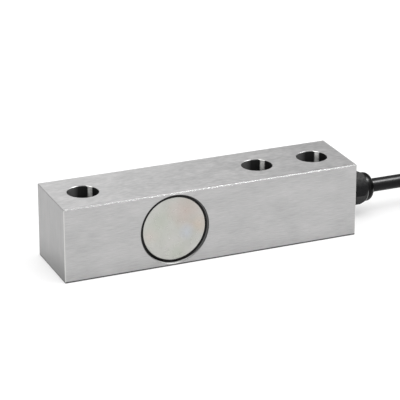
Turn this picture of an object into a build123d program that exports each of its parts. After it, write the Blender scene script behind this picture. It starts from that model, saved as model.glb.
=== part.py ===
from build123d import *
import os
from math import cos, radians, sin, sqrt, tan

# Shear beam load cell with a cable gland and a wound lead, in millimetres.
# The origin is on the mounting face, midway between the two fixing holes.
# +X runs along the beam towards its cable end, +Y to its rear side, +Z up through the holes.
# A gauge pocket is milled into each side of the beam, and the thin web left between the two
# carries the strain gauges. Each pocket is closed by a steel disc in a bead of sealing compound.

# Beam
beam_length = 130.0
beam_width = 31.8
beam_height = 31.8
beam_edge = 0.25

# Holes through the beam, from its top face to its mounting face
hole_diameter = 13.0
hole_rim = 0.2
fixing_pitch = 25.4
fixing_inset = 13.4
load_inset = 14.0

# Gauge pockets and the web between them
pocket_inset = 47.7
pocket_diameter = 24.5
web_thickness = 6.0
web_hole_diameter = 3.0
seat_diameter = 29.8
seat_depth = 2.0
seat_rim = 0.1

# Cover discs and their beads
cover_thickness = 1.0
cover_rim = 0.2
bead_width = 1.15
bead_recess = 0.35
bead_hollow = 0.15

# Strain gauge foils
foil_width = 10.0
foil_height = 8.0
foil_corner = 0.8
foil_thickness = 0.15
grid_thickness = 0.1
grid_legs = 6
grid_leg_length = 3.4
grid_leg_width = 0.3
grid_pitch = 0.6
grid_spread = 2.4
grid_rise = 0.7
tab_count = 3
tab_width = 1.5
tab_height = 1.1
tab_pitch = 2.8
tab_margin = 0.4

# Boards in the pockets
board_thickness = 0.8
board_width = 3.6
board_clear = 1.05
pad_thickness = 0.1
strip_length = 11.0
strip_corner = 0.4
strip_drop = 8.2
strip_pad_width = 2.0
strip_pad_height = 2.6
bridge_pad_count = 10
bridge_pad_diameter = 1.4
bridge_pad_step = 12.0
bridge_gap = 60.0
resistor_count = 3
resistor_step = 32.0
resistor_length = 3.2
resistor_width = 1.6
resistor_height = 0.6
resistor_cap = 0.5

# Fine wires in the pockets
jumper_diameter = 0.3
jumper_rise = 1.0
web_wire_diameter = 0.7
web_wire_rise = 2.0
web_wire_ring = 0.6
web_wire_layer = 1.0

# Cable gland: how far its axis lies behind the beam's middle and above its base
gland_y = 6.5
gland_z = 11.35
gland_turn = 9.0
gland_thread_diameter = 10.0
gland_thread_length = 4.2
thread_lead_in = 0.45
gland_bore_depth = 5.2
gasket_thickness = 1.0
gasket_diameter = 12.2
hex_across = 12.7
hex_length = 4.0
hex_chamfer_angle = 30.0
spigot_diameter = 9.8
spigot_length = 7.0
claw_depth = 4.0
claw_outer = 8.5
claw_ring = 1.6
claw_length = 7.8
claw_taper = 1.8
claw_tip_diameter = 8.0
claw_fingers = 8
claw_slot = 0.7
claw_wall = 0.5
bush_length = 7.0
bush_groove = 0.25
bush_grooves = 3
nut_gap = 0.6
nut_length = 12.6
nut_dome_length = 3.8
nut_dome_round = 3.1
nut_shoulder = 2.0
nut_thread_depth = 7.0
nut_throat_depth = 10.6
thread_clear = 0.1
slide_clear = 0.05

# Lead passage, beside the fixing holes, from the gland's bore to the rear pocket
passage_diameter = 3.9
passage_y = 9.5
core_diameter = 1.1
core_space = 0.1
core_lead = 2.2
core_settle = 0.7
core_slant = 0.2
core_lane_start = 8.8
core_turn = 1.8
core_drop = 2.2
core_colours = ("red", "black", "green", "white")

# Cable, its route from the gland to the hank, and the hank
cable_diameter = 6.0
jacket_end = 4.0
cable_route = [(66.0, gland_y, gland_z), (92.0, 12.0, 3.0), (108.0, 12.0, 3.0)]
fold_radius_inner = 18.0
hank_columns = 3
hank_rows = 4
hank_straight = 58.0
hank_x = 145.4
ridge_stop = 9.0
ridge_sink = 0.6
landing_length = 14.0
hank_shoulder = 2.5

# Ties round the hank
tie_width = 3.0
tie_thickness = 0.9
tie_clear = 0.1
tie_shift = 23.0
tie_head_width = 4.8
tie_head_height = 4.4
tie_head_depth = 3.2
tie_tail = 1.6

# Bare end of the cable
sleeve_length = 18.0
sleeve_overlap = 9.0
sleeve_wall = 0.4
tail_lead = 4.2
tail_drop = 9.0
tail_stagger = 4.0
tail_length = 30.0
tail_fan = 2.2
tail_part = 0.6
tip_length = 6.0
tip_diameter = 0.8
drain_diameter = 0.5

# Places worked out from the sizes
beam_end = fixing_pitch / 2 + fixing_inset
load_end = beam_end - beam_length
load_hole_x = load_end + load_inset
pocket_x = load_end + pocket_inset
pocket_z = beam_height / 2
pocket_depth = (beam_width - web_thickness) / 2
hole_places = [load_hole_x, -fixing_pitch / 2, fixing_pitch / 2]
cover_radius = seat_diameter / 2 - bead_width
board_outer = pocket_diameter / 2 - board_clear
board_middle = board_outer - board_width / 2
pad_height = board_thickness + pad_thickness
cable_radius = cable_diameter / 2
sides = ("front", "rear")
side_faces = {
    "front": Plane((pocket_x, -beam_width / 2, pocket_z), (1, 0, 0), (0, -1, 0)),
    "rear": Plane((pocket_x, beam_width / 2, pocket_z), (-1, 0, 0), (0, 1, 0)),
}
web_faces = {side: side_faces[side].offset(-pocket_depth) for side in sides}


def write_piece(piece, name):
    """Label a finished piece and write it as a STEP file of the same name."""
    piece.part.label = name
    export_step(piece.part, f"parts/{name}.step")


def corner_radii(points):
    """Largest arc that each corner takes: 0.45 of its shorter run over the tangent of half the turn."""
    runs = [Vector(*end) - Vector(*start) for start, end in zip(points, points[1:])]
    return [
        0.45 * min(before.length, after.length) / tan(radians(before.get_angle(after)) / 2)
        for before, after in zip(runs, runs[1:])
    ]


def lay_tube(points, diameter, radii):
    """Round tube along straight runs joined by tangent arcs of the given radii."""
    start = Vector(*points[0])
    with BuildPart() as tube:
        with BuildLine():
            FilletPolyline(*points, radius=radii)
        with BuildSketch(Plane(start, z_dir=Vector(*points[1]) - start)):
            Circle(diameter / 2)
        sweep()
    return tube


def bend_wire(points, diameter):
    """Fine wire of straight runs with mitred bends."""
    start = Vector(*points[0])
    with BuildPart() as wire:
        with BuildLine():
            Polyline(*points)
        with BuildSketch(Plane(start, z_dir=Vector(*points[1]) - start)):
            Circle(diameter / 2)
        sweep(transition=Transition.RIGHT)
    return wire


def polar_place(radius, angle):
    """Point at a radius and an angle, in degrees, on a pocket's plane."""
    return (radius * cos(radians(angle)), radius * sin(radians(angle)))


os.makedirs("parts", exist_ok=True)

# Beam body: a ground bar with its holes, gauge pockets, gland bore and lead passage
gland_face = Plane((beam_end, gland_y, gland_z), (0, 1, 0), (1, 0, 0))
with BuildPart() as beam_body:
    with BuildSketch():
        with Locations((beam_end - beam_length / 2, 0)):
            Rectangle(beam_length, beam_width)
    extrude(amount=beam_height)
    chamfer(beam_body.edges(), length=beam_edge)
    with BuildSketch():
        with Locations(*[(x, 0) for x in hole_places]):
            Circle(hole_diameter / 2)
    extrude(amount=beam_height, mode=Mode.SUBTRACT)
    chamfer(beam_body.edges().filter_by(GeomType.CIRCLE), length=hole_rim)
    for side in sides:
        with Locations(side_faces[side]):
            CounterBoreHole(pocket_diameter / 2, seat_diameter / 2, seat_depth, pocket_depth)
    seat_circles = beam_body.edges().filter_by(GeomType.CIRCLE).filter_by(
        lambda edge: abs(edge.radius - seat_diameter / 2) < 0.01
        and abs(abs(edge.arc_center.Y) - beam_width / 2) < 0.01
    )
    chamfer(seat_circles, length=seat_rim)
    with BuildSketch(web_faces["front"]):
        with Locations(polar_place(board_middle, 180)):
            Circle(web_hole_diameter / 2)
    extrude(amount=-web_thickness, mode=Mode.SUBTRACT)
    with Locations(gland_face):
        Hole(gland_thread_diameter / 2 + thread_clear, gland_bore_depth)
    with BuildSketch(gland_face.offset(-gland_bore_depth)):
        with Locations((passage_y - gland_y, 0)):
            Circle(passage_diameter / 2)
    extrude(amount=pocket_x + board_middle - beam_end + gland_bore_depth, mode=Mode.SUBTRACT)
write_piece(beam_body, "beam_body")

# Covers: thin discs that lie on the pockets' seats, a little below the beam's side faces
for side in sides:
    with BuildPart() as cover:
        with BuildSketch(side_faces[side].offset(-seat_depth)):
            Circle(cover_radius)
        extrude(amount=cover_thickness)
        chamfer(cover.faces().sort_by(Axis(side_faces[side].origin, side_faces[side].z_dir))[-1].edges(),
                length=cover_rim)
    write_piece(cover, f"{side}_cover")

# Beads: sealing compound in the gap between each cover's edge and its seat's wall, hollow on top
bead_at_wall = (seat_diameter / 2, -bead_recess)
bead_at_cover = (cover_radius, cover_thickness - cover_rim - seat_depth)
bead_low = ((bead_at_wall[0] + bead_at_cover[0]) / 2, (bead_at_wall[1] + bead_at_cover[1]) / 2 - bead_hollow)
for side in sides:
    face = side_faces[side]
    with BuildPart() as bead:
        with BuildSketch(Plane(face.origin, face.x_dir, -face.y_dir)):
            with BuildLine():
                Polyline(
                    bead_at_cover,
                    (cover_radius, -seat_depth),
                    (seat_diameter / 2, -seat_depth),
                    bead_at_wall,
                    bead_low,
                    close=True,
                )
            make_face()
        revolve(axis=Axis(face.origin, face.z_dir))
    write_piece(bead, f"{side}_seal_bead")

# Strain gauges: a foil on each face of the web, with two grids of folded legs at 45 degrees
link_places = [
    ((link - (grid_legs - 2) / 2) * grid_pitch, (-1) ** link * (grid_leg_length - grid_leg_width) / 2)
    for link in range(grid_legs - 1)
]
tab_y = -foil_height / 2 + tab_margin + tab_height / 2
for side in sides:
    with BuildPart() as gauge:
        with BuildSketch(web_faces[side]):
            RectangleRounded(foil_width, foil_height, foil_corner)
        extrude(amount=foil_thickness)
        with BuildSketch(web_faces[side].offset(foil_thickness)):
            for tilt in (45, -45):
                grid_x = -grid_spread if tilt > 0 else grid_spread
                with Locations(Location((grid_x, grid_rise, 0), (0, 0, tilt))):
                    with GridLocations(grid_pitch, 0, grid_legs, 1):
                        Rectangle(grid_leg_width, grid_leg_length)
                    with Locations(*link_places):
                        Rectangle(grid_pitch, grid_leg_width)
            with Locations((0, tab_y)):
                with GridLocations(tab_pitch, 0, tab_count, 1):
                    Rectangle(tab_width, tab_height)
        extrude(amount=grid_thickness)
    write_piece(gauge, f"{side}_strain_gauge")

# Front terminal strip: a small board below the front gauge, one pad for each of its tabs
with BuildPart() as terminal_strip:
    with BuildSketch(web_faces["front"]):
        with Locations((0, -strip_drop)):
            RectangleRounded(strip_length, board_width, strip_corner)
    extrude(amount=board_thickness)
    with BuildSketch(web_faces["front"].offset(board_thickness)):
        with Locations((0, -strip_drop)):
            with GridLocations(tab_pitch, 0, tab_count, 1):
                Rectangle(strip_pad_width, strip_pad_height)
    extrude(amount=pad_thickness)
write_piece(terminal_strip, "front_terminal_strip")

# Rear bridge board: a C-shaped board round the rear gauge, open at the web hole
pad_angles = [
    270 + (pad - (bridge_pad_count - 1) / 2) * bridge_pad_step for pad in range(bridge_pad_count)
]
with BuildPart() as bridge_board:
    with BuildSketch(web_faces["rear"]):
        with BuildLine(mode=Mode.PRIVATE) as board_arc:
            CenterArc((0, 0), board_middle, bridge_gap / 2, 360 - bridge_gap)
        SlotArc(board_arc.edge(), board_width)
    extrude(amount=board_thickness)
    with BuildSketch(web_faces["rear"].offset(board_thickness)):
        with Locations(*[polar_place(board_middle, angle) for angle in pad_angles]):
            Circle(bridge_pad_diameter / 2)
    extrude(amount=pad_thickness)
write_piece(bridge_board, "rear_bridge_board")

# Trim resistors: chips with end caps on the upper part of the bridge board
with BuildPart() as trim_resistors:
    for chip in range(resistor_count):
        chip_angle = 90 + (chip - (resistor_count - 1) / 2) * resistor_step
        chip_x, chip_y = polar_place(board_middle, chip_angle)
        with BuildSketch(web_faces["rear"].offset(board_thickness)):
            with Locations(Location((chip_x, chip_y, 0), (0, 0, chip_angle - 90))):
                Rectangle(resistor_length, resistor_width)
        extrude(amount=resistor_height)
        with BuildSketch(web_faces["rear"].offset(board_thickness + resistor_height)):
            with Locations(Location((chip_x, chip_y, 0), (0, 0, chip_angle - 90))):
                with GridLocations(resistor_length - resistor_cap, 0, 2, 1):
                    Rectangle(resistor_cap, resistor_width)
        extrude(amount=pad_thickness)
write_piece(trim_resistors, "rear_trim_resistors")

# Jumpers: enamelled wires that arch from each gauge's tabs to the pads beside it
foil_top = foil_thickness + grid_thickness
tab_places = [(tab - (tab_count - 1) / 2) * tab_pitch for tab in range(tab_count)]
strip_pad_top = -strip_drop + strip_pad_height / 4
jumper_pads = {
    "front": [(x, strip_pad_top) for x in tab_places],
    "rear": [polar_place(board_middle, angle) for angle in pad_angles[4:4 + tab_count]],
}
for side in sides:
    with BuildPart() as jumpers:
        for tab_x, (pad_x, pad_y) in zip(tab_places, jumper_pads[side]):
            arch = [
                (tab_x, tab_y, foil_top),
                (tab_x, tab_y, foil_top + jumper_rise),
                (pad_x, pad_y, pad_height + jumper_rise),
                (pad_x, pad_y, pad_height),
            ]
            arch = [tuple(web_faces[side].from_local_coords(point)) for point in arch]
            add(bend_wire(arch, jumper_diameter).part)
    write_piece(jumpers, f"{side}_jumper_wires")

# Web wires: from the front strip's pads, through the web hole, to the bridge board
strip_pad_low = -strip_drop - strip_pad_height / 4
with BuildPart() as web_wires:
    for wire in range(tab_count):
        pad_x, pad_y = polar_place(board_middle, pad_angles[-1 - wire])
        ring_x, ring_y = polar_place(web_wire_ring, -30 - 120 * wire)
        hole_x, hole_y = -board_middle + ring_x, ring_y
        high = web_wire_rise + wire * web_wire_layer
        front_side = [
            (tab_places[wire], strip_pad_low, pad_height),
            (tab_places[wire], strip_pad_low, high),
            (hole_x, hole_y, high),
        ]
        rear_side = [
            (-hole_x, hole_y, high),
            (pad_x, pad_y, high),
            (pad_x, pad_y, pad_height),
        ]
        lead = [tuple(web_faces["front"].from_local_coords(point)) for point in front_side]
        lead += [tuple(web_faces["rear"].from_local_coords(point)) for point in rear_side]
        add(bend_wire(lead, web_wire_diameter).part)
write_piece(web_wires, "web_wires")

# Gland pieces, turned about the gland's axis: local x runs out of the beam, local y is the radius
gland_section = Plane((beam_end, gland_y, gland_z), (1, 0, 0), (0, -1, 0))
gland_axis = Axis((beam_end, gland_y, gland_z), (1, 0, 0))
hex_corner = hex_across / sqrt(3)
hex_chamfer_length = (hex_corner - hex_across / 2) / tan(radians(hex_chamfer_angle))
hex_start = gasket_thickness
hex_end = hex_start + hex_length
spigot_end = hex_end + spigot_length
claw_floor = spigot_end - claw_depth
cable_hole = cable_radius + 2 * thread_clear


def turn_profile(points, mode=Mode.ADD):
    """Turn a closed outline of (along, radius) points about the gland's axis."""
    with BuildSketch(gland_section) as outline:
        with BuildLine():
            Polyline(*points, close=True)
        make_face()
    revolve(outline.sketch, axis=gland_axis, mode=mode)


# Gasket between the gland's hexagon and the beam's end face
with BuildPart() as gland_gasket:
    with BuildSketch(gland_face):
        Circle(gasket_diameter / 2)
        Circle(gland_thread_diameter / 2 + thread_clear, mode=Mode.SUBTRACT)
    extrude(amount=gasket_thickness)
write_piece(gland_gasket, "gland_gasket")

# Gland body: threaded nipple, hexagon and the hollow spigot that holds the claw
with BuildPart() as gland_body:
    with BuildSketch(gland_face.offset(hex_start)):
        RegularPolygon(hex_across / 2, 6, major_radius=False, rotation=gland_turn)
    extrude(amount=hex_length)
    turn_profile(
        [
            (hex_start, 0),
            (hex_start, hex_across / 2),
            (hex_start + hex_chamfer_length, hex_corner),
            (hex_end - hex_chamfer_length, hex_corner),
            (hex_end, hex_across / 2),
            (hex_end, 0),
        ],
        mode=Mode.INTERSECT,
    )
    turn_profile(
        [
            (-gland_thread_length, 0),
            (-gland_thread_length, gland_thread_diameter / 2 - thread_lead_in),
            (thread_lead_in - gland_thread_length, gland_thread_diameter / 2),
            (hex_start, gland_thread_diameter / 2),
            (hex_start, spigot_diameter / 2),
            (spigot_end - thread_lead_in, spigot_diameter / 2),
            (spigot_end, spigot_diameter / 2 - thread_lead_in),
            (spigot_end, 0),
        ]
    )
    turn_profile(
        [
            (-gland_thread_length, 0),
            (-gland_thread_length, cable_hole + claw_wall + thread_clear),
            (claw_wall + thread_clear - gland_thread_length, cable_hole),
            (claw_floor, cable_hole),
            (claw_floor, claw_outer / 2 + slide_clear),
            (spigot_end, claw_outer / 2 + slide_clear),
            (spigot_end, 0),
        ],
        mode=Mode.SUBTRACT,
    )
write_piece(gland_body, "gland_body")

# Claw: a ring in the spigot with fingers that the nut's throat presses on the bush
claw_inner = claw_outer / 2 - claw_wall
claw_end = claw_floor + claw_length
with BuildPart() as gland_claw:
    turn_profile(
        [
            (claw_floor, claw_inner),
            (claw_floor, claw_outer / 2),
            (claw_end - claw_taper, claw_outer / 2),
            (claw_end, claw_tip_diameter / 2),
            (claw_end, claw_inner),
        ]
    )
    with BuildSketch(gland_face.offset(claw_end)):
        with PolarLocations(claw_inner, claw_fingers):
            Rectangle(4 * claw_wall, claw_slot)
    extrude(amount=claw_ring - claw_length, mode=Mode.SUBTRACT)
write_piece(gland_claw, "gland_claw")

# Bush: a grooved rubber sleeve round the cable, inside the claw
bush_outer = claw_inner - slide_clear
bush_step = bush_length / (2 * bush_grooves + 1)
with BuildPart() as gland_bush:
    turn_profile(
        [
            (claw_floor, cable_radius + slide_clear),
            (claw_floor, bush_outer),
            (claw_floor + bush_length, bush_outer),
            (claw_floor + bush_length, cable_radius + slide_clear),
        ]
    )
    for groove in range(bush_grooves):
        groove_start = claw_floor + (2 * groove + 1) * bush_step
        turn_profile(
            [
                (groove_start, bush_outer - bush_groove),
                (groove_start, bush_outer + bush_groove),
                (groove_start + bush_step, bush_outer + bush_groove),
                (groove_start + bush_step, bush_outer - bush_groove),
            ],
            mode=Mode.SUBTRACT,
        )
write_piece(gland_bush, "gland_bush")

# Nut: a hexagon with a chamfered shoulder and a domed end round the cable
nut_start = hex_end + nut_gap
nut_end = nut_start + nut_length
dome_start = nut_end - nut_dome_length
throat_radius = claw_tip_diameter / 2 - 2 * slide_clear
with BuildPart() as gland_nut:
    with BuildSketch(gland_face.offset(nut_start)):
        RegularPolygon(hex_across / 2, 6, major_radius=False, rotation=gland_turn)
    extrude(amount=dome_start - nut_start)
    turn_profile(
        [
            (nut_start, 0),
            (nut_start, hex_across / 2),
            (nut_start + hex_chamfer_length, hex_corner),
            (dome_start - nut_shoulder, hex_corner),
            (dome_start, hex_across / 2),
            (dome_start, 0),
        ],
        mode=Mode.INTERSECT,
    )
    with BuildSketch(gland_section):
        with BuildLine():
            FilletPolyline(
                (dome_start - nut_shoulder, 0),
                (dome_start - nut_shoulder, hex_across / 2),
                (nut_end, hex_across / 2),
                (nut_end, 0),
                radius=[0, nut_dome_round],
                close=False,
            )
            Line((nut_end, 0), (dome_start - nut_shoulder, 0))
        make_face()
    revolve(axis=gland_axis)
    turn_profile(
        [
            (nut_start, 0),
            (nut_start, spigot_diameter / 2 + thread_clear),
            (nut_start + nut_thread_depth, spigot_diameter / 2 + thread_clear),
            (nut_start + nut_throat_depth, throat_radius),
            (nut_start + nut_throat_depth, cable_hole),
            (nut_end, cable_hole),
            (nut_end, 0),
        ],
        mode=Mode.SUBTRACT,
    )
write_piece(gland_nut, "gland_nut")

# Cores: four insulated wires from the jacket's end, through the passage, to the bridge board
core_offset = (core_diameter + core_space) / 2
core_spots = [(across * core_offset, up * core_offset) for across in (-1, 1) for up in (-1, 1)]
for colour, (across, up), pad_angle in zip(core_colours, core_spots, pad_angles):
    pad_x, pad_y = polar_place(board_middle, pad_angle)
    over_pad = web_faces["rear"].from_local_coords((pad_x, pad_y, pad_height + core_drop))
    on_pad = web_faces["rear"].from_local_coords((pad_x, pad_y, pad_height))
    lane_y = passage_y + across
    lane_z = gland_z + up
    core_route = [
        (beam_end + jacket_end, gland_y + across, lane_z),
        (beam_end + jacket_end - core_lead, gland_y + across, lane_z),
        (beam_end - gland_bore_depth - core_settle, lane_y - core_slant, lane_z),
        (beam_end - gland_bore_depth - core_lane_start, lane_y, lane_z),
        (over_pad.X + core_turn, lane_y, lane_z),
        tuple(over_pad),
        tuple(on_pad),
    ]
    core = bend_wire(core_route, core_diameter)
    write_piece(core, f"core_{colour}")

# Cable run: straight out of the gland, down to the surface and on to the hank
cable_points = [(beam_end + jacket_end, gland_y, gland_z), *cable_route]
cable_bends = corner_radii(cable_points)
cable_run = lay_tube(cable_points, cable_diameter, cable_bends)
print("cable radii", [round(radius, 1) for radius in cable_bends])
write_piece(cable_run, "cable_run")

# Hank: the rest of the cable in long turns, three wide below and two wide above, as one solid
fold_radius_outer = fold_radius_inner + (hank_columns - 1) * cable_diameter
fold_radius_middle = (fold_radius_inner + fold_radius_outer) / 2
hank_y = cable_route[-1][1] - fold_radius_outer
row_rise = cable_diameter * sqrt(3) / 2
pile_height = cable_diameter + (hank_rows - 1) * row_rise
pile_width = fold_radius_outer - fold_radius_inner + cable_diameter
ridge_z = pile_height + cable_radius - ridge_sink
sleeve_start = hank_x + hank_straight / 2 - ridge_stop
sleeve_end = sleeve_start - sleeve_length
jacket_stop = sleeve_start - sleeve_overlap
sleeve_radius = cable_radius + slide_clear + sleeve_wall
bare_y = hank_y - fold_radius_middle
tie_places = [(hank_x - tie_shift, 1), (hank_x + tie_shift, -1)]
with BuildPart() as cable_hank:
    with BuildSketch(Plane((hank_x, hank_y, 0))):
        SlotCenterToCenter(hank_straight, 2 * fold_radius_outer + cable_diameter)
        SlotCenterToCenter(hank_straight, 2 * fold_radius_inner - cable_diameter, mode=Mode.SUBTRACT)
    extrude(amount=pile_height)
    chamfer(cable_hank.faces().sort_by(Axis.Z)[-1].edges(), length=hank_shoulder)
    with BuildSketch(Plane((sleeve_start + tie_clear, bare_y, ridge_z), z_dir=(-1, 0, 0))):
        Circle(sleeve_radius + slide_clear)
    extrude(amount=sleeve_length + 2 * tie_clear, mode=Mode.SUBTRACT)
    with BuildLine(Plane((hank_x, hank_y, ridge_z))):
        Line((-hank_straight / 2, fold_radius_middle), (hank_straight / 2, fold_radius_middle))
        ThreePointArc(
            (hank_straight / 2, fold_radius_middle),
            (hank_straight / 2 + fold_radius_middle, 0),
            (hank_straight / 2, -fold_radius_middle),
        )
        Line((hank_straight / 2, -fold_radius_middle), (jacket_stop - hank_x, -fold_radius_middle))
    ridge_start = (hank_x - hank_straight / 2, hank_y + fold_radius_middle, ridge_z)
    with BuildSketch(Plane(ridge_start, z_dir=(1, 0, 0))):
        Circle(cable_radius)
    sweep()
    for tie_x, side in tie_places:
        with BuildSketch(Plane((tie_x, hank_y + side * fold_radius_middle, 0))):
            Rectangle(tie_width + 2 * tie_clear, pile_width + 2 * tie_clear)
        extrude(amount=tie_thickness + tie_clear, mode=Mode.SUBTRACT)
    with BuildSketch(Plane(cable_route[-1], (0, -1, 0), (-1, 0, 0))):
        Circle(cable_radius + slide_clear)
        Rectangle(
            cable_diameter + 2 * slide_clear, cable_diameter, align=(Align.CENTER, Align.MAX)
        )
    extrude(amount=landing_length, mode=Mode.SUBTRACT)
write_piece(cable_hank, "cable_hank")


def tie_outline(plane, margin, floor):
    """Outline round a side of the hank and the turn on top of it, grown by a margin, above a floor."""
    with BuildSketch(plane) as outline:
        with Locations((0, (cable_radius + floor) / 2)):
            Rectangle(pile_width + 2 * margin, cable_radius - floor)
        with Locations(
            (cable_radius - pile_width / 2, pile_height - cable_radius),
            (pile_width / 2 - cable_radius, pile_height - cable_radius),
            (0, ridge_z),
        ):
            Circle(cable_radius + margin)
        make_hull(outline.edges(), mode=Mode.REPLACE)
    return outline.sketch


# Ties: nylon bands round the hank's two sides, each with a head and a cut tail inside the loop
for name, (tie_x, side) in zip(("hank_tie_near", "hank_tie_far"), tie_places):
    tie_plane = Plane((tie_x, hank_y + side * fold_radius_middle, 0), (0, 1, 0), (1, 0, 0))
    head_y = -side * (pile_width / 2 + tie_clear + tie_head_depth / 2)
    with BuildPart() as tie:
        extrude(tie_outline(tie_plane, tie_clear + tie_thickness, 0), amount=tie_width / 2, both=True)
        extrude(
            tie_outline(tie_plane, tie_clear, tie_thickness),
            amount=tie_width / 2,
            both=True,
            mode=Mode.SUBTRACT,
        )
        with BuildSketch(tie_plane):
            with Locations((head_y, pile_height / 2)):
                Rectangle(tie_head_depth, tie_head_height)
        extrude(amount=tie_head_width / 2, both=True)
        with BuildSketch(tie_plane):
            with Locations((head_y, pile_height / 2 + tie_head_height / 2 + tie_tail / 2)):
                Rectangle(tie_thickness, tie_tail)
        extrude(amount=tie_width / 2, both=True)
    write_piece(tie, name)

# Sleeve: shrunk over the jacket's end, narrower where it grips the cores
core_reach = core_offset * sqrt(2) + core_diameter / 2 + slide_clear
with BuildPart() as end_sleeve:
    with BuildSketch(Plane((sleeve_start, bare_y, ridge_z), (-1, 0, 0), (0, 1, 0))):
        with BuildLine():
            Polyline(
                (0, cable_radius + slide_clear),
                (0, sleeve_radius),
                (sleeve_overlap, sleeve_radius),
                (sleeve_overlap + cable_radius, core_reach + sleeve_wall),
                (sleeve_length, core_reach + sleeve_wall),
                (sleeve_length, core_reach),
                (sleeve_overlap + cable_radius, core_reach),
                (sleeve_overlap + slide_clear, cable_radius + slide_clear),
                close=True,
            )
        make_face()
    revolve(axis=Axis((sleeve_start, bare_y, ridge_z), (1, 0, 0)))
write_piece(end_sleeve, "end_sleeve")

# Core tails: the stripped cores and the screen's drain wire, fanned out on the hank, with tinned tips
tail_end = sleeve_end - tail_length
with BuildPart() as tail_tips:
    for rank, (colour, (across, up)) in enumerate(zip(core_colours, core_spots)):
        fan = (rank - (len(core_colours) - 1) / 2) * tail_fan
        low = pile_height + core_diameter / 2
        bend_x = sleeve_end - tail_lead - (tail_stagger if up > 0 else 0)
        tail_route = [
            (jacket_stop, bare_y + across, ridge_z + up),
            (bend_x, bare_y + across, ridge_z + up),
            (bend_x - tail_drop, bare_y + fan * tail_part, low),
            (tail_end, bare_y + fan, low),
        ]
        tail = lay_tube(tail_route, core_diameter, corner_radii(tail_route))
        write_piece(tail, f"tail_{colour}")
        last_run = Vector(*tail_route[-1]) - Vector(*tail_route[-2])
        add(Solid.make_cylinder(tip_diameter / 2, tip_length, Plane(tail_route[-1], z_dir=last_run)))
write_piece(tail_tips, "tail_tips")
drain_low = pile_height + drain_diameter / 2
drain_route = [
    (jacket_stop, bare_y, ridge_z),
    (sleeve_end - tail_lead, bare_y, ridge_z),
    (sleeve_end - tail_lead - tail_drop, bare_y + core_slant, drain_low),
    (tail_end - tip_length, bare_y, drain_low),
]
screen_tail = lay_tube(drain_route, drain_diameter, corner_radii(drain_route))
write_piece(screen_tail, "screen_tail")
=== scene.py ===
# %% [markdown]
# # A shear beam load cell
# A load cell turns weight into a small voltage. This one is a square steel bar: it is screwed down
# through two holes at one end and loaded through a hole at the other. Between them each side has a
# round pocket with strain gauges in it, closed by a steel disc. A gland lets the lead out.
# The solid pieces come from the CAD model. This lesson adds the lead and the two sealing beads,
# gives each piece its finish, and lights the whole.

# %% Load the CAD model
import bpy
import numpy as np
from mathutils import Matrix, Vector


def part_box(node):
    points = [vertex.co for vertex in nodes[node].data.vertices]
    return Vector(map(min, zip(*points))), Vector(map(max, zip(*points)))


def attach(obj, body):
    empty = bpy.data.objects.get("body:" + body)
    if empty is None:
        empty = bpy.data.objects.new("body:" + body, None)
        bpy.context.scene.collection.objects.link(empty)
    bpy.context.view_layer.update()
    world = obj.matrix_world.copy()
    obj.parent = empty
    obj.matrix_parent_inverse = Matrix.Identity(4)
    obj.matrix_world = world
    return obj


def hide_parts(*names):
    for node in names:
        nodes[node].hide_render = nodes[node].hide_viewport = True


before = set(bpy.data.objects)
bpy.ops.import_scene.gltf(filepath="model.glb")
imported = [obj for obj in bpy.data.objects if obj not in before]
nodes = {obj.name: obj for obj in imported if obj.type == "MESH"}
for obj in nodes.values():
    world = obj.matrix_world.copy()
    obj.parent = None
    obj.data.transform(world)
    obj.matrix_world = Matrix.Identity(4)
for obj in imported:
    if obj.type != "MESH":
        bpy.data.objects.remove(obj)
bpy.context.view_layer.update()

MM = 0.001

# %% [markdown]
# Patterns and beads have to sit where the steel is, so the bar's sizes are read from the model. The
# places of its holes, pocket and gland are those of the model's source. All are in millimetres, as
# on a drawing, and MM turns them to Blender's metres where they are used.

# %% Sizes of the bar
bar_low, bar_high = (np.round(np.array(corner) / MM, 2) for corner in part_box("beam_body"))
bar_middle = (bar_low[0] + bar_high[0]) / 2
bar_reach = bar_high[0] - bar_middle
bar_side, bar_top = bar_high[1:]
load_hole_inset, fixing_pitch, hole_radius = 14.0, 25.4, 6.5
hole_places = [bar_low[0] + load_hole_inset, -fixing_pitch / 2, fixing_pitch / 2]
pocket_x, pocket_z, seat_radius = -56.2, bar_top / 2, 14.9
gland_y, gland_z = 6.5, 11.35
print("bar", bar_low, bar_high, "holes at", np.round(hole_places, 2))

# %% [markdown]
# The camera looks at the load end from the front left, a little from above, through a long lens,
# as product photographs of small parts are taken. Its place is the target plus a distance along
# the line of sight, and its three axes are worked out from two angles and a slight roll. The lens
# was fitted to a picture that is 400 pixels wide, so its focal length is given in those pixels.

# %% Camera
azimuth, elevation, roll = np.radians([-22.999, 22.095, 0.0413])
camera_distance, shift_right, shift_up = 863.24, 0.406, 3.92
picture_width, focal_pixels, sensor_width = 400.0, 2073.9, 36.0
nearest_seen = 10.0
target = np.array([bar_middle, 0.0, bar_top / 2]) * MM
sight = np.array(
    [np.sin(azimuth) * np.cos(elevation), -np.cos(azimuth) * np.cos(elevation), np.sin(elevation)]
)
level = np.cross([0, 0, 1], sight)
level /= np.linalg.norm(level)
upward = np.cross(sight, level)
eye = target + (sight * camera_distance + level * shift_right + upward * shift_up) * MM
axis_x = level * np.cos(roll) + upward * np.sin(roll)
axis_y = upward * np.cos(roll) - level * np.sin(roll)
turned = Matrix(np.column_stack([axis_x, axis_y, sight]).tolist()).to_4x4()
camera = bpy.data.objects.new("camera", bpy.data.cameras.new("camera"))
bpy.context.scene.collection.objects.link(camera)
camera.matrix_world = Matrix.Translation(Vector(eye)) @ turned
camera.data.sensor_width = sensor_width
camera.data.lens = focal_pixels * sensor_width / picture_width
camera.data.clip_start = nearest_seen * MM
bpy.context.scene.camera = camera
print("camera at", eye.round(4), "lens", round(camera.data.lens, 1))

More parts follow.
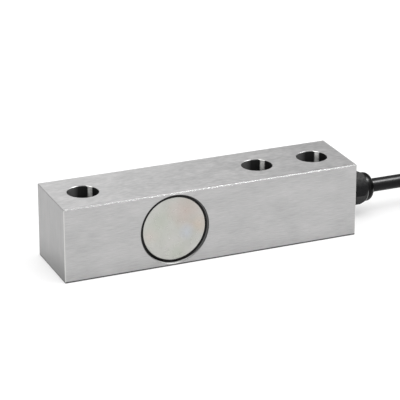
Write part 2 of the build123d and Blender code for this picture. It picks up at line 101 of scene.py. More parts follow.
# %% [markdown]
# The lead is a round cable with four cores. It leaves the gland straight and level, sinks to the table and
# is wound into a hank, the way a new lead is packed. Up to the hank its points are listed, the same ones
# as in the CAD model. The hank is ten turns in four rows, each row in the hollows of the last, and a part
# turn on top of them.

# %% Lead up to the hank, and the plan of the hank
cable_radius = 3.0
lead_points = [
    (30.1, gland_y, gland_z), (46.0, gland_y, gland_z), (56.0, gland_y, gland_z),
    (66.0, gland_y, gland_z), (92.0, 12.0, cable_radius), (108.0, 12.0, cable_radius),
]
turn_radii = [30, 24, 18, 21, 27, 30, 24, 18, 21, 27, 24]
turn_rows = [0, 0, 0, 1, 1, 2, 2, 2, 3, 3, 4]
row_rise = 2 * cable_radius * np.sqrt(3) / 2
# The part turn has no hollow to lie in and rests on the row below, so its height is its own.
ridge_z = 23.99
turn_heights = [*(cable_radius + row * row_rise for row in turn_rows[:-1]), ridge_z]
half_straight, jacket_stop = 29.0, 156.4
hank_centre = np.array([145.4, lead_points[-1][1] - max(turn_radii), 0.0])
print("hank at", hank_centre, "height", round(ridge_z + cable_radius, 2))

# %% [markdown]
# A turn has two straight sides and two folds. A spline of this kind touches the middle of each
# line between its points, so a fold's points are the corners of a polygon that just holds its
# circle. In the near fold each turn also moves on to the next one's place, so it has more corners.

# %% Far half of a turn
far_corners, near_corners = 6, 12
far_half_step, near_half_step = np.radians([90 / far_corners, 90 / near_corners])


def fold_angles(first, corners):
    """Directions of a fold's corners: a half turn of equal steps, half a step away from its ends."""
    return np.radians(first - 180 / corners * (np.arange(corners) + 0.5))


def far_half_turn(radius, height):
    """Nine points: along the +Y side, six round the far fold, and the start of the -Y side.

    A corner lies at the radius over the cosine of half a step. The points of a straight side lie
    inside its ends by the radius times the tangent of half a step of the fold that it joins.
    """
    near_x = np.tan(near_half_step) * radius - half_straight
    far_x = half_straight - np.tan(far_half_step) * radius
    angles = fold_angles(90, far_corners)
    reach = radius / np.cos(far_half_step)
    x = [near_x, far_x, *(half_straight + reach * np.cos(angles)), far_x]
    y = [radius, radius, *(reach * np.sin(angles)), -radius]
    return np.column_stack([x, y, np.full(len(x), height)])


print("points of a far half turn", len(far_half_turn(turn_radii[0], turn_heights[0])))

# %% [markdown]
# Two turns can't pass through each other. So each one moves on in its own part of the near fold,
# given as a start and an end from 0 to 1, and only once the turns over its way have left. Turns of
# the upper rows also rise a little in the middle of the fold, to clear the ones below.

# %% Near half of a turn
move_spans = [
    (0.78, 1.0), (0.78, 1.0), (0.58, 0.82), (0.58, 0.82), (0.58, 0.82),
    (0.4, 0.64), (0.4, 0.64), (0.22, 0.46), (0.22, 0.46), (0.05, 0.28),
]
lift_per_row = 0.5


def soft_step(value):
    """Goes from 0 to 1 with level ends: three squares less two cubes of the value, kept in 0 to 1."""
    value = np.clip(value, 0, 1)
    return value * value * (3 - 2 * value)


def near_half_turn(turn):
    """Thirteen points: the end of the -Y side, and twelve round the near fold to the next turn.

    The part moved is the soft step of the share of the fold within the turn's span. Radius and
    height go from this turn's to the next one's by that part, and the lift is a squared sine.
    """
    (radius, next_radius), (height, next_height) = turn_radii[turn:turn + 2], turn_heights[turn:turn + 2]
    start, end = move_spans[turn]
    share = (np.arange(near_corners) + 0.5) / near_corners
    moved = soft_step((share - start) / (end - start))
    reach = (radius + (next_radius - radius) * moved) / np.cos(near_half_step)
    angles = fold_angles(-90, near_corners)
    lift = lift_per_row * min(turn_rows[turn], 3) * np.sin(np.pi * share) ** 2
    x, y = reach * np.cos(angles) - half_straight, reach * np.sin(angles)
    side_end = (np.tan(near_half_step) * radius - half_straight, -radius, height)
    return np.vstack([side_end, np.column_stack([x, y, height + (next_height - height) * moved + lift])])


# %% [markdown]
# The whole route is the lead up to the hank, ten turns of two halves each, and the part turn on
# the ridge, which ends where the jacket is cut off inside the end sleeve.

# %% Whole route
halves = []
for turn in range(len(move_spans)):
    halves += [far_half_turn(turn_radii[turn], turn_heights[turn]), near_half_turn(turn)]
ridge_radius = turn_radii[-1]
ridge_end = (jacket_stop - hank_centre[0], -ridge_radius, ridge_z)
hank_points = np.vstack([*halves, far_half_turn(ridge_radius, ridge_z), ridge_end]) + hank_centre
route = np.vstack([lead_points, hank_points])
print("points of the lead", len(route))

# %% [markdown]
# A cable could be a mesh swept along its route, but a curve with a round bevel stays smooth with few
# points. A NURBS curve of order 3 bends evenly between them and never swings past them. Its centreline is
# read off the curve itself, before it gets its thickness.

# %% Lead as a NURBS spline
cable_curve = bpy.data.curves.new("lead", "CURVE")
cable_curve.dimensions = "3D"
spline = cable_curve.splines.new("NURBS")
spline.points.add(len(route) - 1)
spline.points.foreach_set("co", np.column_stack([route * MM, np.ones(len(route))]).ravel())
spline.points.foreach_set("radius", np.full(len(route), cable_radius * MM))
spline.order_u = 3
spline.use_endpoint_u = True
spline.resolution_u = 5
cable_line = bpy.data.objects.new("lead_line", cable_curve)
line_mesh = bpy.data.meshes.new_from_object(cable_line)
centreline = np.zeros(len(line_mesh.vertices) * 3)
line_mesh.vertices.foreach_get("co", centreline)
bpy.data.objects.remove(cable_line)
bpy.data.meshes.remove(line_mesh)

# %% [markdown]
# Now the curve gets its thickness and takes the place of two plain solids, the run and the hank.
# The ties, the end sleeve and the bare cores are solids of the model that lie on the lead.

# %% Thickness of the lead, and what it stands for
# Blender grows a curve's box by its points' radius. So the radius holds the lead's, and the bevel
# depth is one metre.
cable_curve.bevel_depth = 1.0
cable_curve.bevel_resolution = 6
cable_curve.use_fill_caps = True
lead = bpy.data.objects.new("lead", cable_curve)
bpy.context.scene.collection.objects.link(lead)
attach(lead, "root")
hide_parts("cable_run", "cable_hank")

# %% [markdown]
# Each material is a small graph of nodes. One helper adds a node, sets it and links it. Another
# turns a hex colour, which is stored for screens, into the linear light that shaders use.

# %% Colour and node helpers


def colour(code):
    """Linear RGBA of an sRGB hex code: the lower end is a straight line, the rest a 2.4 power."""
    parts = np.array([int(code[i:i + 2], 16) for i in (1, 3, 5)]) / 255
    linear = np.where(parts <= 0.04045, parts / 12.92, ((parts + 0.055) / 1.055) ** 2.4)
    return (*linear.tolist(), 1.0)


def add_node(tree, kind, inputs=(), out=0, **settings):
    """Adds a shader node with its settings, sets or links its inputs, and returns one output.

    The inputs are a list in the node's own order, or a dictionary by name or place.
    """
    node = tree.nodes.new(f"ShaderNode{kind}")
    for name, setting in settings.items():
        setattr(node, name, setting)
    for name, value in (inputs if isinstance(inputs, dict) else dict(enumerate(inputs))).items():
        if isinstance(value, bpy.types.NodeSocket):
            tree.links.new(value, node.inputs[name])
        else:
            node.inputs[name].default_value = value
    return node.outputs[out]


def start_material(name, shader_values):
    """A new material with its node tree and Principled shader; constants sit on the shader."""
    material = bpy.data.materials.new(name)
    material.use_nodes = True
    shader = material.node_tree.nodes["Principled BSDF"]
    for socket, value in shader_values.items():
        shader.inputs[socket].default_value = value
    return material, material.node_tree, shader


def feed(tree, shader, sources):
    """Links the shader's inputs, by name, to what varies them."""
    for name, source in sources.items():
        tree.links.new(source, shader.inputs[name])


def dress(names, material):
    """Gives the listed CAD nodes one material."""
    for name in names:
        mesh = nodes[name].data
        mesh.materials.clear()
        mesh.materials.append(material)
    print(material.name, "on", *names)


print("a middle grey of a screen is", round(colour("#808080")[0], 3), "in linear light")

# %% [markdown]
# A finish is built up as a painter would: a ground colour, then coats that show only through their
# masks. A mask is 1 where its coat lies and 0 elsewhere, and comes from the place on the object or
# from a noise. Noise that is stretched one way looks like the scratches of a grinding belt.

# %% Streaks, masks and coats
# A noise keeps near a half. Below the first of these levels it counts as 0, above the second as 1.
noise_span, wide_span = (0.35, 0.65), (0.3, 0.7)


def object_place(tree):
    """The three Object coordinates of a material, in metres."""
    return add_node(tree, "SeparateXYZ", [add_node(tree, "TexCoord", out="Object")]).node.outputs


def streaks(tree, sizes, detail=4.0, roughness=0.65):
    """Noise on the place divided by the sizes of its lumps along x, y and z, in millimetres."""
    coordinates = add_node(tree, "TexCoord", out="Object")
    scale = tuple(1.0 / (size * MM) for size in sizes)
    place = add_node(tree, "Mapping", {"Vector": coordinates, "Scale": scale})
    values = {"Vector": place, "Scale": 1.0, "Detail": detail, "Roughness": roughness}
    return add_node(tree, "TexNoise", values, out="Fac")


def overlap(tree, mask, *others):
    """Where masks hold at once: their product."""
    for other in others:
        mask = add_node(tree, "Math", [mask, other], operation="MULTIPLY")
    return mask


def paint(tree, tint, *layers):
    """Lays coats over a tint in turn: a layer is a mask and a coat, as a hex code or a socket."""
    for mask, coat in layers:
        under, over = (colour(each) if isinstance(each, str) else each for each in (tint, coat))
        # A Mix node has its two colours at places 6 and 7, and gives its colour at 2.
        tint = add_node(tree, "Mix", {0: mask, 6: under, 7: over}, out=2, data_type="RGBA")
    return tint


# %% [markdown]
# Edges, holes and seats need masks with a sharp border, and those come from distances: from a
# middle plane, from an axis, or along a direction.

# %% Distances for masks


def off_middle(tree, value, middle):
    """How far a coordinate lies from a middle, to either side: the size of their difference."""
    offset = add_node(tree, "Math", [value, -middle * MM], operation="ADD")
    return add_node(tree, "Math", [offset], operation="ABSOLUTE")


def beyond(tree, value, middle, reach):
    """1 where a coordinate lies further than a reach from a middle, and 0 elsewhere."""
    return add_node(tree, "Math", [off_middle(tree, value, middle), reach * MM], operation="GREATER_THAN")


def from_axis(tree, first, second):
    """Distance from an axis: the square root of the sum of two squares."""
    squares = [add_node(tree, "Math", [part, part], operation="MULTIPLY") for part in (first, second)]
    total = add_node(tree, "Math", squares, operation="ADD")
    return add_node(tree, "Math", [total, 0.5], operation="POWER")


def toward(tree, x, y, degrees):
    """How far a place lies in a direction: x times its cosine plus y times its sine."""
    parts = zip((x, y), (np.cos(np.radians(degrees)), np.sin(np.radians(degrees))))
    shares = [add_node(tree, "Math", [part, share], operation="MULTIPLY") for part, share in parts]
    return add_node(tree, "Math", shares, operation="ADD")


# %% [markdown]
# The bar is alloy steel, ground with a belt and then plated with nickel. So short fine scratches run along
# its sides and up and down on its two ends, while its top is a little cloudier. Two noises are added up,
# scratches and clouds. Their sum varies the colour a little, the gloss more, and the height least. The
# ends are painted a shade darker, a painted shade for their dimmer reflection. They are darkest at their
# lower corner, a painted shade of the table.

# %% Ground steel: its grain
# Belt-ground steel under nickel: a grey metal whose reflections are drawn out along the scratches.
# Real scratches are about 0.05 mm wide. They are drawn 0.3 to 1 mm wide, so that they show.
side_grain, end_grain, top_grain = (5.5, 0.3, 0.3), (0.9, 0.9, 14.0), (3.2, 1.0, 1.0)
cloud_size, scratch_share, cloud_share = (14.0, 6.0, 6.0), 0.76, 0.24
grain_low, grain_high = 0.34, 0.66
least_rough, most_rough = 0.32, 0.41
corner_top, corner_back, corner_front, corner_least = 11.0, 8.0, -16.0, 0.3
face_margin = 0.1
steel, tree, shader = start_material("ground steel, nickel plated", {"Metallic": 1.0})
place = object_place(tree)
on_end = beyond(tree, place["X"], bar_middle, bar_reach - face_margin)
on_top = add_node(tree, "Math", [place["Z"], (bar_top - face_margin) * MM], operation="GREATER_THAN")
side_scratch = streaks(tree, side_grain, detail=5.0, roughness=0.72)
flat_scratch = add_node(tree, "Mix", {0: on_top, 2: side_scratch, 3: streaks(tree, top_grain)})
scratch = add_node(tree, "Mix", {0: on_end, 2: flat_scratch, 3: streaks(tree, end_grain)})
clouds = streaks(tree, cloud_size, detail=2.0, roughness=0.5)
parts = [overlap(tree, scratch, scratch_share), overlap(tree, clouds, cloud_share)]
grain = add_node(tree, "Math", parts, operation="ADD")
light = add_node(tree, "MapRange", [grain, grain_low, grain_high])
# Painted shade: the ends get darker low down and towards the front, as the table would shade them.
low_corner_shade = overlap(
    tree, add_node(tree, "MapRange", [place["Z"], corner_top * MM, 0.0]),
    add_node(tree, "MapRange", [place["Y"], corner_back * MM, corner_front * MM, corner_least, 1.0]),
)
# The ends' own grain, painted a shade darker than the sides as painted shade, with the painted shade of
# their lower corner over it.
end_grain_and_shade = paint(tree, "#8f8f8f", (light, "#a6a5a5"), (low_corner_shade, "#6c6c6c"))
tint = paint(tree, "#9c9c9c", (light, "#b8b7b7"), (on_end, end_grain_and_shade))
rough = add_node(tree, "MapRange", [grain, grain_low, grain_high, least_rough, most_rough])
print("steel so far", len(tree.nodes), "nodes")

# %% [markdown]
# The walls of the drilled holes look nearly black, with one bright strip and a dull grey patch. Light
# alone doesn't give that in so narrow a hole, so the colour paints it: the black is painted shade, and the
# strip and the patch are painted reflections. The distance from each hole's axis gives the mask, and two
# directions give the strip and the patch. The black reaches over the rim in front and behind, but not at
# its two ends, so the mask is slightly oval.

# %% Ground steel: its holes
# A drill leaves rings about 0.2 mm apart. They are drawn 0.7 mm high, so that they show.
black_reach, hole_oval = hole_radius + 0.24, 1.034
strip_angle, strip_start, strip_full = 44, 0.978 * hole_radius, 0.994 * hole_radius
patch_angle, patch_start, patch_full = 118, 0.86 * hole_radius, 0.99 * hole_radius
strip_low_z, strip_least, ring_size = 22.0, 0.45, (3.0, 3.0, 0.7)
ring_low, ring_high, ring_least = 0.35, 0.6, 0.72
wall_rough, strip_rough = 0.5, 0.95
nearest, strip, patch = 1.0, 0.0, 0.0
for hole_x in hole_places:
    across = add_node(tree, "Math", [place["X"], -hole_x * MM], operation="ADD")
    narrowed = add_node(tree, "Math", [across, hole_oval], operation="MULTIPLY")
    away = from_axis(tree, narrowed, place["Y"])
    inside = add_node(tree, "Math", [away, black_reach * MM], operation="LESS_THAN")
    to_strip = toward(tree, across, place["Y"], strip_angle)
    # Painted reflection: the bright strip on one side of each hole's wall.
    strip_reflection = add_node(tree, "MapRange", [to_strip, strip_start * MM, strip_full * MM])
    strip = add_node(tree, "Math", [strip, overlap(tree, inside, strip_reflection)], operation="MAXIMUM")
    to_patch = toward(tree, across, place["Y"], patch_angle)
    # Painted reflection: the dull grey patch on another side of the wall.
    patch_reflection = add_node(tree, "MapRange", [to_patch, patch_start * MM, patch_full * MM])
    patch = add_node(tree, "Math", [patch, overlap(tree, inside, patch_reflection)], operation="MAXIMUM")
    nearest = add_node(tree, "Math", [nearest, away], operation="MINIMUM")
in_hole = add_node(tree, "Math", [nearest, black_reach * MM], operation="LESS_THAN")
rising = add_node(tree, "MapRange", [place["Z"], strip_low_z * MM, bar_top * MM, strip_least, 1.0])
drill_rings = streaks(tree, ring_size, detail=3.0, roughness=0.7)
rings = add_node(tree, "MapRange", [drill_rings, ring_low, ring_high, ring_least, 1.0])
strip = overlap(tree, strip, rising, rings)
# Painted shade and reflections: the bore's nearly black wall, with the grey patch and the bright strip.
painted_bore = paint(tree, "#3c3c3c", (patch, "#7c7c7c"), (strip, "#f4f4f2"))
bore_rough = add_node(tree, "Mix", {0: strip, 2: wall_rough, 3: strip_rough})
print("steel so far", len(tree.nodes), "nodes")

# %% [markdown]
# Edges and seats get their own colours, most of them painted light. The lower edge is painted dark, a
# painted shade where the bar stands on the table. The long upper edges are painted darker, a painted shade
# that dims the softbox's highlight on them. The upright edges are painted bright, a painted highlight. The
# lowest few millimetres of the bar are painted a little darker, a painted shade of the table. The seat's
# wall is rough from the tool and painted darker, a painted shade in the seat, and its rim is a fine dark
# line.

# %% Ground steel: its edges and seats
upright_width, shaded_edge_width, low_edge_start, low_edge_full = 0.3, 0.245, 0.75, 0.45
shade_height, shade_most = 6.0, 0.3
seat_wall_reach, rim_reach, seat_wall_rough = 14.915, 15.06, 0.95
right_start, right_full, scratch_depth = 5.0, 12.0, 0.008
# Painted highlight: the upright chamfers are painted bright.
upright_highlight = overlap(
    tree, beyond(tree, place["X"], bar_middle, bar_reach - upright_width),
    beyond(tree, place["Y"], 0.0, bar_side - upright_width),
)
# Painted shade: the long upper chamfers are painted darker, to dim the softbox's highlight on them.
long_edge_shade = overlap(
    tree, beyond(tree, place["Y"], 0.0, bar_side - shaded_edge_width),
    add_node(tree, "Math", [place["Z"], (bar_top - shaded_edge_width) * MM], operation="GREATER_THAN"),
)
# Painted shade: the lowest edge is painted dark where the bar stands on the table.
low_edge_shade = add_node(tree, "MapRange", [place["Z"], low_edge_start * MM, low_edge_full * MM])
# Painted shade: the lowest few millimetres are darker, as the table would shade them.
table_shade = add_node(tree, "MapRange", [place["Z"], shade_height * MM, 0.0, 0.0, shade_most])
seat_x = add_node(tree, "Math", [place["X"], -pocket_x * MM], operation="ADD")
seat_z = add_node(tree, "Math", [place["Z"], -pocket_z * MM], operation="ADD")
from_seat = from_axis(tree, seat_x, seat_z)
# Painted shade: the seat's wall is painted darker than the face, as shade in the seat.
on_wall = add_node(tree, "Math", [from_seat, seat_wall_reach * MM], operation="LESS_THAN")
on_rim = add_node(tree, "Math", [from_seat, rim_reach * MM], operation="LESS_THAN")
right_side = add_node(tree, "MapRange", [seat_x, right_start * MM, right_full * MM])
tint = paint(
    tree, tint, (upright_highlight, "#c6c6c4"), (table_shade, "#808080"),
    (on_rim, paint(tree, "#6e6e6e", (right_side, "#4a4a4a"))), (on_wall, "#8e8e8d"),
    (low_edge_shade, "#2e2e2e"), (long_edge_shade, "#383838"), (in_hole, painted_bore),
)
rough = add_node(tree, "Mix", {0: on_wall, 2: rough, 3: seat_wall_rough})
rough = add_node(tree, "Mix", {0: in_hole, 2: rough, 3: bore_rough})
bump = add_node(tree, "Bump", {"Height": grain, "Distance": scratch_depth * MM, "Strength": 0.5})
feed(tree, shader, {"Base Color": tint, "Roughness": rough, "Normal": bump})
dress(["beam_body"], steel)

# %% [markdown]
# The two discs are punched from bright stainless sheet. A thin film on the metal gives them faint
# clouds of green, rose and blue. Each cast has a place and a reach, and a noise frays its border.

# %% Stainless discs
# Rolled stainless sheet, stamped: smoother than the bar, so it gives broad soft reflections. Its
# grain is finer than a picture shows, and is drawn 0.9 mm wide.
cloud_low, cloud_high, cloud_depth = 0.36, 0.64, 0.02
least_rough, most_rough = 0.26, 0.34
cast_start, cast_full, fray_share = 1.35, 0.4, 0.8
cover_steel, tree, shader = start_material("stamped stainless steel", {"Metallic": 1.0})
clouds = streaks(tree, (9.0, 9.0, 9.0), detail=2.0, roughness=0.5)
fine = streaks(tree, (0.9, 0.9, 0.9), detail=3.0, roughness=0.6)
fraying = overlap(tree, streaks(tree, (6.0, 6.0, 6.0), detail=2.0, roughness=0.5), fray_share)
coordinates = add_node(tree, "TexCoord", out="Object")
tint = paint(tree, "#abaca7", (add_node(tree, "MapRange", [clouds, cloud_low, cloud_high]), "#b6b5b2"))
for cast_x, cast_z, reach, strength, cast in (
    (-63.0, 18.0, 11.0, 0.6, "#a7aca0"), (-51.0, 23.0, 9.0, 0.75, "#b0a19a"),
    (-45.5, 16.0, 5.5, 0.6, "#b7a798"), (-50.5, 13.5, 4.5, 0.7, "#b0b4be"),
    (-67.0, 14.0, 5.0, 0.5, "#bdb3ae"), (-55.0, 6.0, 6.0, 0.5, "#a5aa9f"),
):
    # The Mapping node centres the cast and measures in reaches, so its border lies near 1.
    centre = (-cast_x / reach, 0.0, -cast_z / reach)
    scale = (1 / (reach * MM), 0.0, 1 / (reach * MM))
    flat = add_node(tree, "Mapping", {"Vector": coordinates, "Location": centre, "Scale": scale})
    away = add_node(tree, "VectorMath", [flat], out="Value", operation="LENGTH")
    ragged = add_node(tree, "Math", [away, fraying], operation="ADD")
    stain = add_node(tree, "MapRange", [ragged, cast_start, cast_full, 0.0, strength])
    tint = paint(tree, tint, (stain, cast))
rough = add_node(tree, "MapRange", [fine, *wide_span, least_rough, most_rough])
bump = add_node(tree, "Bump", {"Height": clouds, "Distance": cloud_depth * MM, "Strength": 0.5})
feed(tree, shader, {"Base Color": tint, "Roughness": rough, "Normal": bump})
dress(["front_cover", "rear_cover"], cover_steel)

# %% [markdown]
# The gland is moulded from black polyamide. Its upper flats are painted greyer, a painted sheen where they
# face the softboxes. A fine moulding line on the lower half of the nut, where its hexagon ends, is painted
# light as a painted glint. Its underside and its dome are painted blacker, as painted shade.

# %% Moulded gland
# Polyamide from a fine-textured mould: nearly black, with dim narrow lights and a faint grain,
# which is finer than a picture shows and is drawn 0.7 mm wide.
line_x, line_start, line_full = 40.45, 0.26, 0.12
line_top, line_foot, dome_x = gland_z + 1, gland_z - 1, line_x + 0.25
upper_sheen_start, upper_sheen_full, upper_sheen_least = gland_z + 2.5, gland_z + 5.5, 0.35
under_start, under_full, grit_depth = 11.5, 6.5, 0.01
nylon, tree, shader = start_material(
    "polyamide, moulded black", {"Specular IOR Level": 0.09, "Roughness": 0.26}
)
place = object_place(tree)
grit = streaks(tree, (0.7, 0.7, 0.7), roughness=0.7)
# Painted sheen: the upper flats are painted greyer, unevenly through the grit.
upper_sheen = overlap(
    tree, add_node(tree, "MapRange", [place["Z"], upper_sheen_start * MM, upper_sheen_full * MM]),
    add_node(tree, "MapRange", [grit, *noise_span, upper_sheen_least, 1.0]),
    add_node(tree, "Math", [place["X"], line_x * MM], operation="LESS_THAN"),
)
# Painted glint: the moulding line on the lower half of the nut is painted light.
line = overlap(
    tree,
    add_node(tree, "MapRange", [off_middle(tree, place["X"], line_x), line_start * MM, line_full * MM]),
    add_node(tree, "MapRange", [place["Z"], line_top * MM, line_foot * MM]),
)
# Painted shade: the underside of the gland and its dome past the line are painted blacker.
underside_shade = add_node(tree, "MapRange", [place["Z"], under_start * MM, under_full * MM])
dome_shade = add_node(tree, "Math", [place["X"], dome_x * MM], operation="GREATER_THAN")
tint = paint(
    tree, "#111112", (add_node(tree, "MapRange", [grit, *noise_span]), "#1d1d1e"),
    (underside_shade, "#030303"), (dome_shade, "#060606"), (upper_sheen, "#4a4a4a"), (line, "#7a7a7a"),
)
bump = add_node(tree, "Bump", {"Height": grit, "Distance": grit_depth * MM, "Strength": 1.0})
feed(tree, shader, {"Base Color": tint, "Normal": bump})
dress(["gland_body", "gland_nut", "gland_claw"], nylon)

# %% [markdown]
# The other pieces are small or hidden, and each is one plain stuff: rubber, film, board, wire or
# plastic. No real surface is quite even, so a noise of the grain's size mixes two close colours,
# and the gloss and the height follow it. One function makes them all. Most of the real grains are
# finer than a picture shows, and are drawn 0.3 to 2 mm wide.

# %% A finish for a plain stuff
rough_swing = 0.04


def speckled(name, dark, light, grain, roughness, depth=0.0, **shader_values):
    """Two close colours mixed by a noise of the grain's size, with gloss and height that follow it."""
    values = {key.replace("_", " "): value for key, value in shader_values.items()}
    material, tree, shader = start_material(name, values)
    noise = streaks(tree, (grain, grain, grain), roughness=0.55)
    tint = paint(tree, dark, (add_node(tree, "MapRange", [noise, *noise_span]), light))
    span = [noise, *wide_span, roughness - rough_swing, roughness + rough_swing]
    feed(tree, shader, {"Base Color": tint, "Roughness": add_node(tree, "MapRange", span)})
    if depth:
        bump = add_node(tree, "Bump", {"Height": noise, "Distance": depth * MM, "Strength": 1.0})
        feed(tree, shader, {"Normal": bump})
    return material


# Extruded PVC: smooth and black, so one narrow light runs along the lead.
jacket = speckled(
    "PVC jacket, extruded black", "#060607", "#0b0b0c", grain=1.2, roughness=0.3, depth=0.006,
    Specular_IOR_Level=0.15,
)
lead.data.materials.append(jacket)
# Silicone, laid wet and smoothed by hand: deep black with a dull, uneven shine.
sealant = speckled(
    "silicone sealant, black", "#050505", "#0b0b0b", grain=0.8, roughness=0.3, depth=0.05,
    Specular_IOR_Level=0.15,
)
# Moulded rubber: matt, a little greyer than the gland round it.
rubber = speckled("nitrile rubber", "#0e0e0e", "#161616", grain=0.4, roughness=0.62, depth=0.02)
dress(["gland_gasket", "gland_bush"], rubber)
# Cast polyimide film with the foil under it: smooth amber.
gauge_film = speckled("polyimide film", "#b06a1c", "#c27a26", grain=2.0, roughness=0.3)
dress(["front_strain_gauge", "rear_strain_gauge"], gauge_film)
# Woven glass and resin under a printed solder mask: glossy dark green.
board = speckled("fibreglass board, green mask", "#1c4a2a", "#245a34", grain=0.8, roughness=0.36)
dress(["front_terminal_strip", "rear_bridge_board"], board)
# Fired ceramic with a dark glaze: small, even and half matt.
chip_ceramic = speckled("ceramic chip", "#17171a", "#202024", grain=0.4, roughness=0.5)
dress(["rear_trim_resistors"], chip_ceramic)

# %% [markdown]
# The wires and the end of the lead come last. Metal shows wherever a wire is bare, and colour
# tells the cores apart: each keeps its colour from the pocket to its stripped end.

# %% Wires, sleeves and ties
# Drawn copper under clear enamel: a warm, smooth metal.
copper_wire = speckled(
    "enamelled copper", "#8a4a24", "#a05a2c", grain=0.6, roughness=0.28, Metallic=1.0
)
dress(["front_jumper_wires", "rear_jumper_wires"], copper_wire)
# Extruded sleeving: soft, plain yellow.
web_sleeve = speckled("wire sleeving, yellow", "#b88c1c", "#c89a26", grain=0.6, roughness=0.42)
dress(["web_wires"], web_sleeve)
# Shrunk polyolefin: satin black that follows what is under it.
shrink = speckled(
    "polyolefin shrink tube", "#0f0f10", "#161617", grain=0.7, roughness=0.46, depth=0.02
)
dress(["end_sleeve"], shrink)
# Copper strand dipped in tin: pale metal, ridged by the strands.
tinned = speckled(
    "tinned copper strand", "#a9a7a2", "#c2c0ba", grain=0.3, roughness=0.34, depth=0.02,
    Metallic=1.0,
)
dress(["tail_tips", "screen_tail"], tinned)
# Moulded polyamide strap: black and smooth, glossier than the rubber.
tie_nylon = speckled(
    "polyamide tie, black", "#141415", "#1c1c1d", grain=0.5, roughness=0.36, depth=0.01
)
dress(["hank_tie_near", "hank_tie_far"], tie_nylon)
# Extruded PVC insulation: even and slightly glossy, dyed through.
for core, dark, light in (
    ("red", "#9c1414", "#ac1a1a"), ("black", "#101010", "#181818"),
    ("green", "#0f6a34", "#15773d"), ("white", "#d8d8d4", "#e2e2de"),
):
    insulation = speckled(f"PVC insulation, {core}", dark, light, grain=0.5, roughness=0.36)
    dress([f"core_{core}", f"tail_{core}"], insulation)

# %% [markdown]
# A ring with an uneven profile is easiest as a grid of points: one way round the profile, the
# other round the axis. Each point is joined to its neighbours in four-sided faces, and the last row
# and column join the first, so the surface closes.

# %% Surface from a grid of points


def add_surface(name, points, material):
    """A mesh from a grid of points that closes on itself both ways, smooth shaded."""
    rows, columns = points.shape[:2]
    corner = np.arange(rows * columns).reshape(rows, columns)
    right, down = np.roll(corner, -1, 1), np.roll(corner, -1, 0)
    faces = np.stack([corner, right, np.roll(right, -1, 0), down], -1).reshape(-1, 4)
    mesh = bpy.data.meshes.new(name)
    mesh.from_pydata(points.reshape(-1, 3).tolist(), [], faces.tolist())
    mesh.polygons.foreach_set("use_smooth", np.ones(len(faces), bool))
    mesh.materials.append(material)
    piece = bpy.data.objects.new(name, mesh)
    bpy.context.scene.collection.objects.link(piece)
    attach(piece, "root")
    return piece


# %% [markdown]
# Each disc is sealed all round with black silicone, which a nozzle lays in the gap and a finger
# smooths. So the bead laps a little over the disc, climbs the wall of the seat by a varying
# amount, and has a faint ridge along its middle. It is sunk near the foot of the disc and leaves
# the wall bare there. It is a profile carried round the pocket's axis.

# %% Sealing beads
# Heights are measured from the bar's side, outwards.
disc_top, bead_foot, wall_top = -1.0, -1.92, -0.15
lap_radius, sunk_angle, places_round, waviness = 13.52, 254, 300, 0.06
front_shift, rear_shift = 0.6, 2.3


def bead_points(side):
    """Grid of a bead: 300 places round the pocket, 12 points of the profile at each.

    A wave is a sum of three sines with whole turns, so it closes. The lap on the disc and the
    climb up the wall each follow their own wave, and the two beads differ by their shift. The bead
    is sunk by the cube of the cosine of the angle from its lowest place. The profile starts on the
    disc, rises over the ridge, dips, climbs the wall, and returns underneath.
    """
    angle = np.linspace(0, 2 * np.pi, places_round, endpoint=False)[:, None]

    def wave(first, shift):
        return (
            0.5 * np.sin(first * angle + shift) + 0.3 * np.sin((first + 4) * angle + 2.1 * shift)
            + 0.2 * np.sin((3 * first + 7) * angle + 3.7 * shift)
        )

    shift = front_shift if side < 0 else rear_shift
    sunk = np.clip(np.cos(angle - np.radians(sunk_angle)), 0, 1) ** 3
    lap = lap_radius + waviness * wave(2, shift) * (1 - sunk) + 0.21 * sunk
    climb = wall_top - waviness * (1 + wave(3, shift + 1)) - 1.5 * sunk
    ridge = disc_top + waviness * (1 + wave(2, shift + 2))
    profile = [
        (lap, disc_top - 0.02), (lap + 0.1, disc_top + 0.05), (lap + 0.32, disc_top + 0.08),
        (14.1, ridge + 0.12 - 0.25 * sunk), (14.3, ridge + 0.16 - 0.45 * sunk),
        (14.5, disc_top + 0.1 - 0.6 * sunk),
        (14.7, disc_top + 0.2 + 0.3 * (climb - disc_top) - 0.5 * sunk),
        (seat_radius - 0.04, climb - 0.08), (seat_radius + 0.02, climb),
        (seat_radius + 0.02, bead_foot), (14.3, bead_foot - 0.03), (13.7, bead_foot),
    ]
    radius, height = (np.hstack([np.ones_like(angle) * value for value in part]) for part in zip(*profile))
    across, up = radius * np.cos(angle), radius * np.sin(angle)
    return np.stack([pocket_x - side * across, side * (bar_side + height), pocket_z + up], -1) * MM


for side, name in ((-1, "front"), (1, "rear")):
    points = bead_points(side)
    bead = add_surface(f"{name}_bead", points, sealant)
    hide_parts(f"{name}_seal_bead")
    print(name, "bead", len(bead.data.vertices), "points, deepest", round(float(points[..., 1].min()), 4))

# %% [markdown]
# The bead's outer shoulder is painted lighter towards the fixing holes, a painted highlight where it would
# catch the light. The highlight is a coat over the sealant, in a narrow ring that fades in along the bar.

# %% Painted highlight on the sealing beads
shoulder_radius, shoulder_start, shoulder_full, shoulder_most = 14.66, 0.2, 0.06, 0.5
shoulder_highlight_start, shoulder_highlight_full = 7.0, 12.0
tree, shader = sealant.node_tree, sealant.node_tree.nodes["Principled BSDF"]
place = object_place(tree)
across = add_node(tree, "Math", [place["X"], -pocket_x * MM], operation="ADD")
up = add_node(tree, "Math", [place["Z"], -pocket_z * MM], operation="ADD")
off_shoulder = off_middle(tree, from_axis(tree, across, up), shoulder_radius)
shoulder = add_node(
    tree, "MapRange", [off_shoulder, shoulder_start * MM, shoulder_full * MM, 0.0, shoulder_most]
)
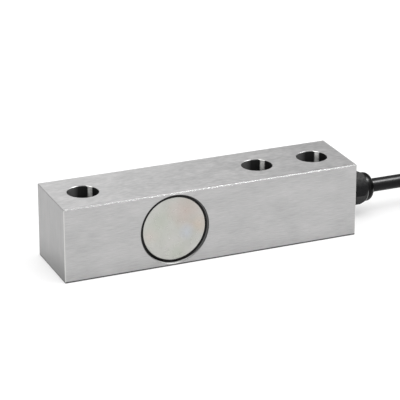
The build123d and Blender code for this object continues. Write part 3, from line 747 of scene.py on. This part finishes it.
# Painted highlight: a lighter ring on the bead's outer shoulder, towards the fixing holes.
shoulder_highlight = overlap(tree, shoulder, add_node(tree, "MapRange", [across, shoulder_highlight_start * MM, shoulder_highlight_full * MM]))
black = shader.inputs["Base Color"].links[0].from_socket
feed(tree, shader, {"Base Color": paint(tree, black, (shoulder_highlight, "#7a7a7a"))})
print("sealant", len(tree.nodes), "nodes")

# %% [markdown]
# Small parts are photographed on a sheet of opal acrylic that is lit from below, so the ground
# turns white and the shadows stay faint. A large plane stands for it.

# %% Table
# Cast acrylic with a white filler: matt, and bright by its own faint glow.
scene = bpy.context.scene
scene.view_settings.view_transform = "Standard"
half_table = 3.0
table_corners = [(x * half_table, y * half_table, 0) for x, y in ((-1, -1), (1, -1), (1, 1), (-1, 1))]
table_mesh = bpy.data.meshes.new("table")
table_mesh.from_pydata(table_corners, [], [(0, 1, 2, 3)])
table = bpy.data.objects.new("table", table_mesh)
scene.collection.objects.link(table)
acrylic, tree, shader = start_material(
    "opal acrylic, lit from below",
    {"Roughness": 0.9, "Base Color": colour("#c8c8c8"), "Emission Color": colour("#ffffff"),
     "Emission Strength": 0.385},
)
table_mesh.materials.append(acrylic)
print("table", 2 * half_table, "m wide")

# %% [markdown]
# A white tent stands round the table, and steel shows what it mirrors. So the world's light is
# brighter overhead. Behind the bar, where its top reflects the tent, the light is brightest a
# little to the right of the middle and darkest further right.

# %% Tent
tent_at_table, tent_overhead = 0.7, 1.45
tent_strength, panel_strength = 1.22, 1.55
panel_stops = [(0.0, 0.5), (0.54, 0.6), (0.63, 1.0), (0.74, 0.16)]
world = bpy.data.worlds.new("white tent")
world.use_nodes = True
tree = world.node_tree
way = add_node(tree, "SeparateXYZ", [add_node(tree, "TexCoord", out="Generated")]).node.outputs
overhead = add_node(tree, "MapRange", [way["Z"], 0.0, 1.0, tent_at_table, tent_overhead])
behind = add_node(tree, "MapRange", [way["Y"], 0.0, 0.5])
fading = add_node(tree, "ValToRGB", [add_node(tree, "MapRange", [way["X"], -1.0, 1.0])])
ramp = fading.node.color_ramp
for _ in panel_stops[2:]:
    ramp.elements.new(0.5)
for stop, (position, grey) in zip(ramp.elements, panel_stops):
    stop.position = position
    stop.color = (grey, grey, grey, 1.0)
panel = add_node(tree, "Math", [fading, panel_strength], operation="MULTIPLY")
tent = add_node(tree, "Mix", {0: behind, 2: tent_strength, 3: panel})
strength = add_node(tree, "Math", [overhead, tent], operation="MULTIPLY")
tree.links.new(strength, tree.nodes["Background"].inputs["Strength"])
tree.nodes["Background"].inputs["Color"].default_value = colour("#ffffff")
scene.world = world
print("tent", len(tree.nodes), "nodes")

# %% [markdown]
# Two softboxes, high on the front right, are seen only in reflections. They light the steel, draw
# a bright line along the gland's dome and the lead, and hardly change the table.

# %% Softboxes
softbox_distance = 0.9


def add_softbox(name, height_angle, side_angle, size, power):
    """A square lamp on a sphere round the bar: two angles in degrees place it, and it faces in."""
    tilt, turn = np.radians([height_angle, side_angle])
    out = np.array([np.sin(turn) * np.cos(tilt), -np.cos(turn) * np.cos(tilt), np.sin(tilt)])
    data = bpy.data.lights.new(name, "AREA")
    data.size = size
    data.energy = power
    lamp = bpy.data.objects.new(name, data)
    scene.collection.objects.link(lamp)
    lamp.location = target + out * softbox_distance
    lamp.rotation_euler = Vector(-out).to_track_quat("-Z", "Y").to_euler()
    lamp.visible_diffuse = False
    print(name, "at", [round(value, 3) for value in lamp.location])


add_softbox("softbox above", 61.8, 60, 0.36, 20.0)
add_softbox("softbox in front", 50, 46, 0.42, 0.7)

# %% [markdown]
# At the end the scene is brought up to date.

# %% The end
bpy.context.view_layer.update()
